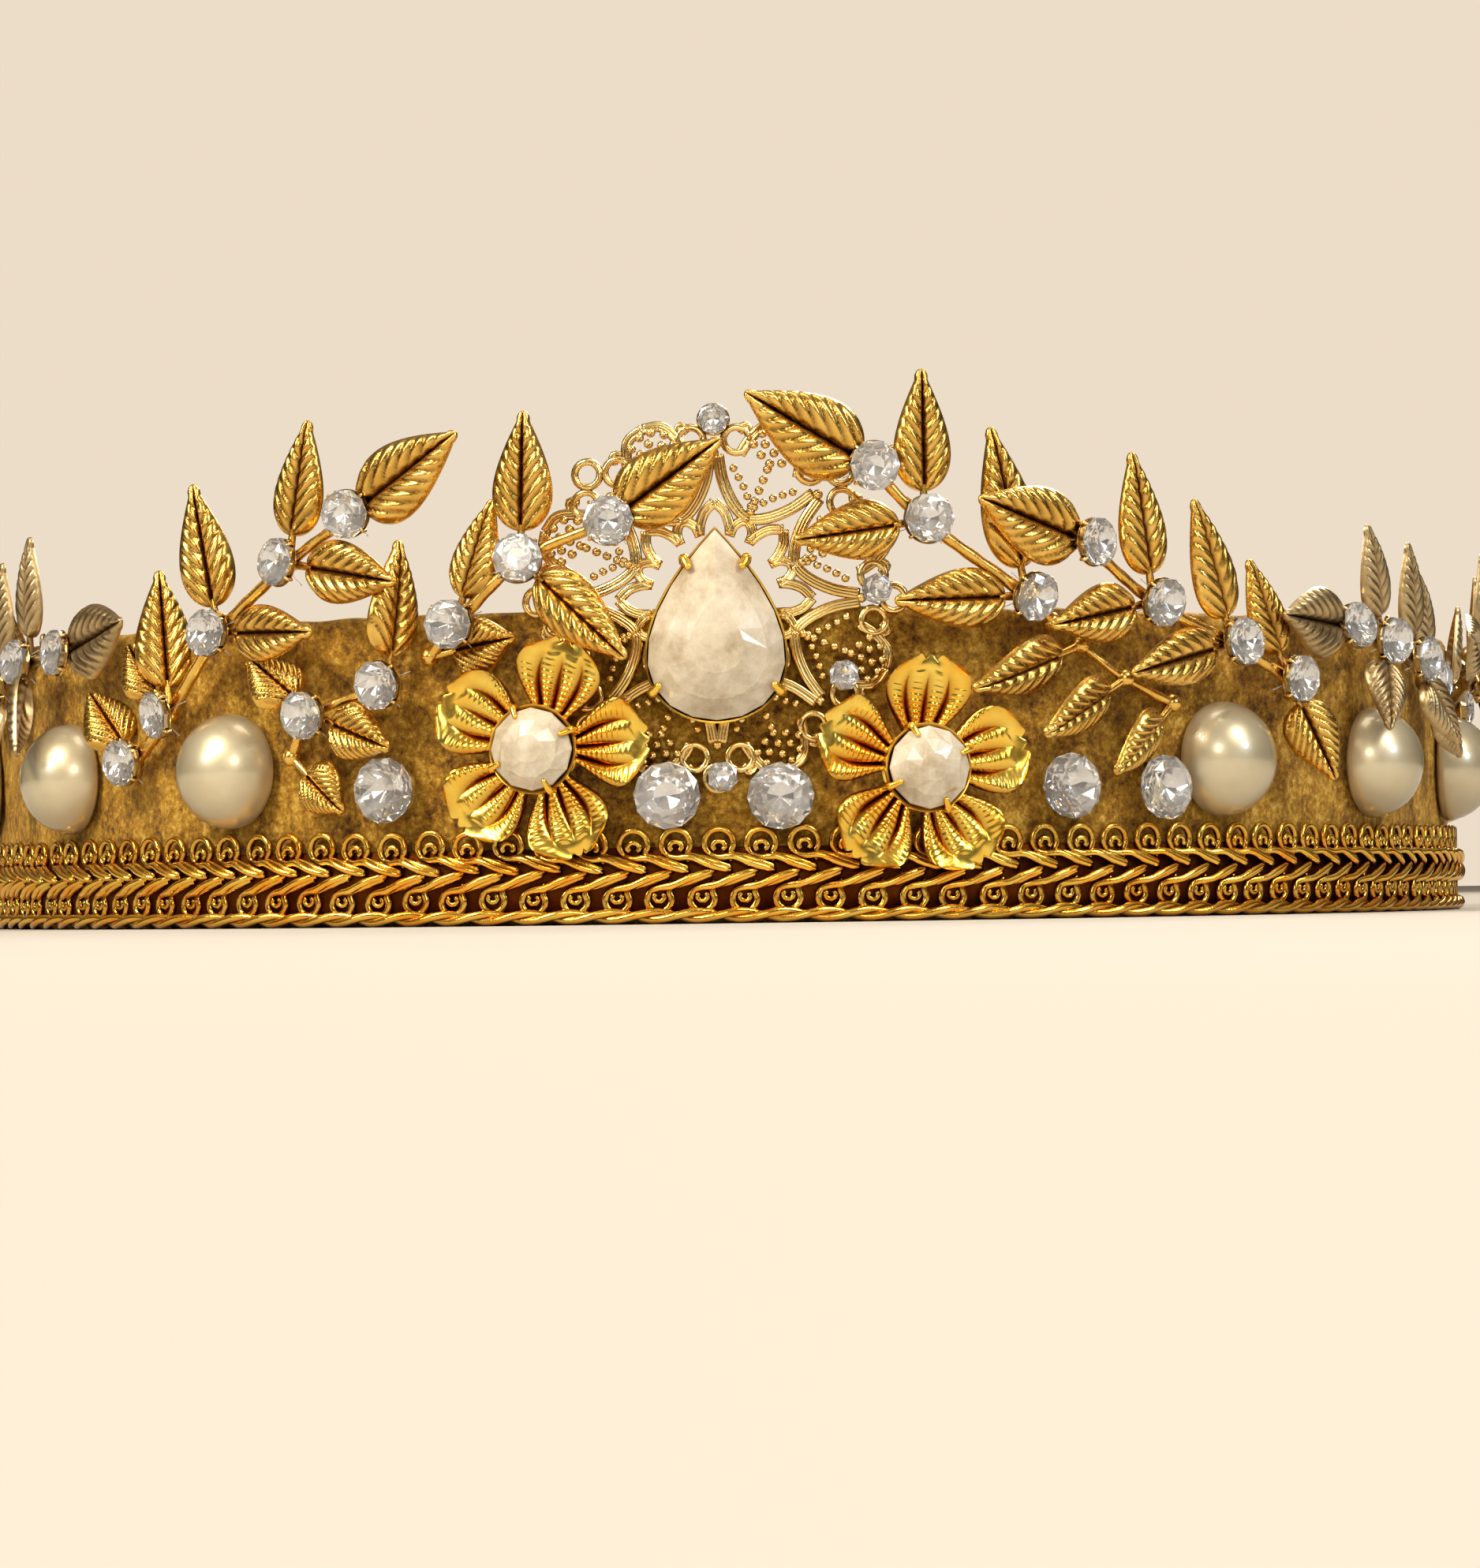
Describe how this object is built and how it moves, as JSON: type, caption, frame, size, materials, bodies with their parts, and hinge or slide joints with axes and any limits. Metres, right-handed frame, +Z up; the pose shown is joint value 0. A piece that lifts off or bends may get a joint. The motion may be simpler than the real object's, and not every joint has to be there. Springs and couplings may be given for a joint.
{
  "type": "crown",
  "caption": "Oval cloth-covered head band with gimp braid, a pierced brass plate with a pear stone, sheet-metal flowers, half pearls and leaf branches standing above it.",
  "frame": {"origin": "middle of the ring's bounding box, on the plane of the band's bottom edge", "axes": "+Z up through the head opening, -Y towards the front plate, +X towards the viewer's right when the front is seen"},
  "size_m": [0.1822, 0.2117, 0.0523],
  "materials": {
    "cover_cloth": "mottled antique-gold metallic cloth, soft and matt",
    "lining_cloth": "plain woven lining",
    "buckram": "stiffened open-weave buckram",
    "edge_wire": "plain steel millinery wire",
    "gold_braid": "bright metallic gold thread",
    "pale_brass": "stamped light brass, satin",
    "bright_gold": "polished yellow gold plate",
    "antique_gold": "antiqued bronze-gold with dark grooves",
    "ivory_stone": "milky ivory, faceted and glossy",
    "clear_crystal": "clear faceted glass",
    "pearl": "cream pearl lustre"
  },
  "bodies": {
    "root": {"band_core": "buckram", "band_cover": "cover_cloth", "band_lining": "lining_cloth", "bottom_edge_wire": "edge_wire", "braid_trim": "gold_braid", "edge_cord": "gold_braid", "filigree_plate": "pale_brass", "flower_left": "bright_gold", "flower_right": "bright_gold", "flower_setting_left": "pale_brass", "flower_setting_right": "pale_brass", "flower_stone_left": "ivory_stone", "flower_stone_right": "ivory_stone", "joint_stone_front_left_1": "clear_crystal", "joint_stone_front_left_2": "clear_crystal", "joint_stone_front_left_3": "clear_crystal", "joint_stone_front_right_1": "clear_crystal", "joint_stone_front_right_2": "clear_crystal", "joint_stone_front_right_3": "clear_crystal", "leaf_branch_front_left": "antique_gold", "leaf_branch_front_right": "antique_gold", "leaf_branch_left_back_1": "antique_gold", "leaf_branch_left_back_2": "antique_gold", "leaf_branch_left_back_3": "antique_gold", "leaf_branch_left_lower": "antique_gold", "leaf_branch_left_side": "antique_gold", "leaf_branch_left_upper": "antique_gold", "leaf_branch_right_back_1": "antique_gold", "leaf_branch_right_back_2": "antique_gold", "leaf_branch_right_back_3": "antique_gold", "leaf_branch_right_lower": "antique_gold", "leaf_branch_right_side": "antique_gold", "leaf_branch_right_upper": "antique_gold", "pear_setting": "pale_brass", "pear_stone": "ivory_stone", "pearl_left_1": "pearl", "pearl_left_2": "pearl", "pearl_left_3": "pearl", "pearl_left_4": "pearl", "pearl_left_5": "pearl", "pearl_left_6": "pearl", "pearl_left_7": "pearl", "pearl_right_1": "pearl", "pearl_right_2": "pearl", "pearl_right_3": "pearl", "pearl_right_4": "pearl", "pearl_right_5": "pearl", "pearl_right_6": "pearl", "pearl_right_7": "pearl", "plate_stone_bottom": "clear_crystal", "plate_stone_lower_right": "clear_crystal", "plate_stone_right": "clear_crystal", "plate_stone_top": "clear_crystal", "rhinestone_front_left": "clear_crystal", "rhinestone_front_right": "clear_crystal", "rhinestone_side_left": "clear_crystal", "rhinestone_side_right": "clear_crystal", "rhinestone_side_right_outer": "clear_crystal", "top_edge_wire": "edge_wire"}
  },
  "joints": []
}
